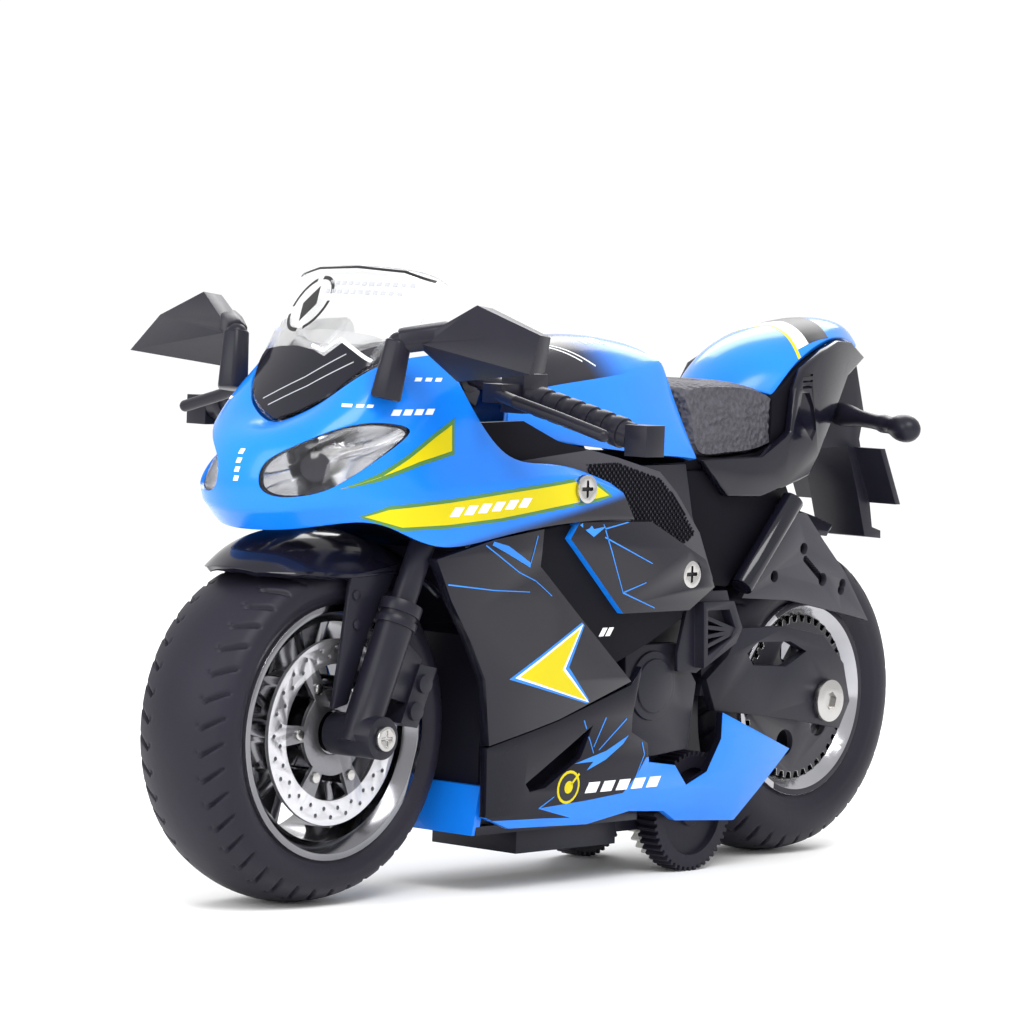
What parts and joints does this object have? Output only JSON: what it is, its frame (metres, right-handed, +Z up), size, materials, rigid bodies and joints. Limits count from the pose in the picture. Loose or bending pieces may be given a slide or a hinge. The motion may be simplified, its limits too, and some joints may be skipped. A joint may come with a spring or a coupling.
{
  "type": "rc motorcycle",
  "caption": "Small battery-driven toy sport motorcycle with full fairing, steering fork, spoked wheels and knurled drive wheels under the belly.",
  "frame": {"origin": "on the floor under the middle of the wheelbase, on the centreline", "axes": "+X towards the front wheel, +Y to the rider's left, +Z up"},
  "size_m": [0.1504, 0.0864, 0.087],
  "materials": {
    "tyre": "matte black rubber",
    "dark_chrome": "bright plated",
    "steel": "bright",
    "blue_gloss": "glossy moulded",
    "black_gloss": "glossy moulded",
    "black_satin": "satin moulded",
    "clear": "clear moulded",
    "seat_grain": "leather-grained moulded",
    "brass": "machined",
    "board": "solder mask",
    "cell_wrap": "shrink wrap",
    "reflector": "vacuum plated",
    "white_gear": "moulded acetal"
  },
  "bodies": {
    "chassis": {"battery_hatch": "black_satin", "battery_pack": "cell_wrap", "belly_pan": "black_satin", "body_screws": "steel", "chassis_frame": "black_satin", "circuit_board": "board", "engine_covers": "black_satin", "footpeg_bracket_left": "black_satin", "footpeg_bracket_right": "black_satin", "frame_cover_left": "black_satin", "frame_cover_right": "black_satin", "front_cowl": "blue_gloss", "fuel_tank": "blue_gloss", "headlight_lenses": "clear", "headlight_reflectors": "reflector", "indicators": "black_satin", "instrument_panel": "black_gloss", "lower_fairing_left": "black_gloss", "lower_fairing_right": "black_gloss", "mirror_left": "black_satin", "mirror_right": "black_satin", "motor": "steel", "rear_axle": "steel", "rear_hugger": "black_satin", "rear_mudguard": "black_satin", "seat_pad": "seat_grain", "side_fairing_left": "black_gloss", "side_fairing_right": "black_gloss", "subframe_struts": "black_gloss", "swingarm": "black_satin", "tail_cowl": "blue_gloss", "tail_side_left": "black_gloss", "tail_side_right": "black_gloss", "windshield": "clear"},
    "steering": {"fork_slider_left": "black_satin", "fork_slider_right": "black_satin", "fork_tubes": "black_satin", "brake_calipers": "black_satin", "front_fender": "black_gloss", "lower_yoke": "black_satin", "upper_clamp": "black_satin", "front_axle": "steel", "handlebars": "black_satin", "hand_grips": "black_satin", "hand_levers": "black_satin"},
    "front_wheel": {"front_rim": "dark_chrome", "front_tyre": "tyre", "front_brake_discs": "steel", "front_disc_bolts": "steel"},
    "rear_wheel": {"rear_rim": "dark_chrome", "rear_tyre": "tyre", "rear_sprocket": "steel", "rear_brake_disc": "steel"},
    "drive_axle": {"drive_wheels": "tyre", "drive_shaft": "steel", "drive_gear": "white_gear"},
    "pinion": {"motor_pinion": "brass"},
    "switch": {"power_switch": "black_satin"}
  },
  "joints": [
    {"name": "steering_turn", "type": "hinge", "parent": "chassis", "child": "steering", "pos_m": [0.049, 0, 0.024], "axis": [-0.4067, 0, 0.9135], "range_deg": [-10, 10]},
    {"name": "front_wheel_spin", "type": "hinge", "parent": "steering", "child": "front_wheel", "pos_m": [0.0514, 0, 0.0238], "axis": [0, 1, 0], "continuous": true},
    {"name": "rear_wheel_spin", "type": "hinge", "parent": "chassis", "child": "rear_wheel", "pos_m": [-0.0514, 0, 0.0238], "axis": [0, 1, 0], "continuous": true},
    {"name": "drive_axle_spin", "type": "hinge", "parent": "chassis", "child": "drive_axle", "pos_m": [-0.0218, 0, 0.0088], "axis": [0, 1, 0], "continuous": true},
    {"name": "pinion_spin", "type": "hinge", "parent": "chassis", "child": "pinion", "pos_m": [-0.01631, 0, 0.01608], "axis": [0, 1, 0], "continuous": true},
    {"name": "switch_slide", "type": "slide", "parent": "chassis", "child": "switch", "axis": [1, 0, 0], "range_m": [0, 0.002]}
  ],
  "couplings": [
    {"joint": "pinion_spin", "follows": "drive_axle_spin", "ratio": -3.5}
  ]
}
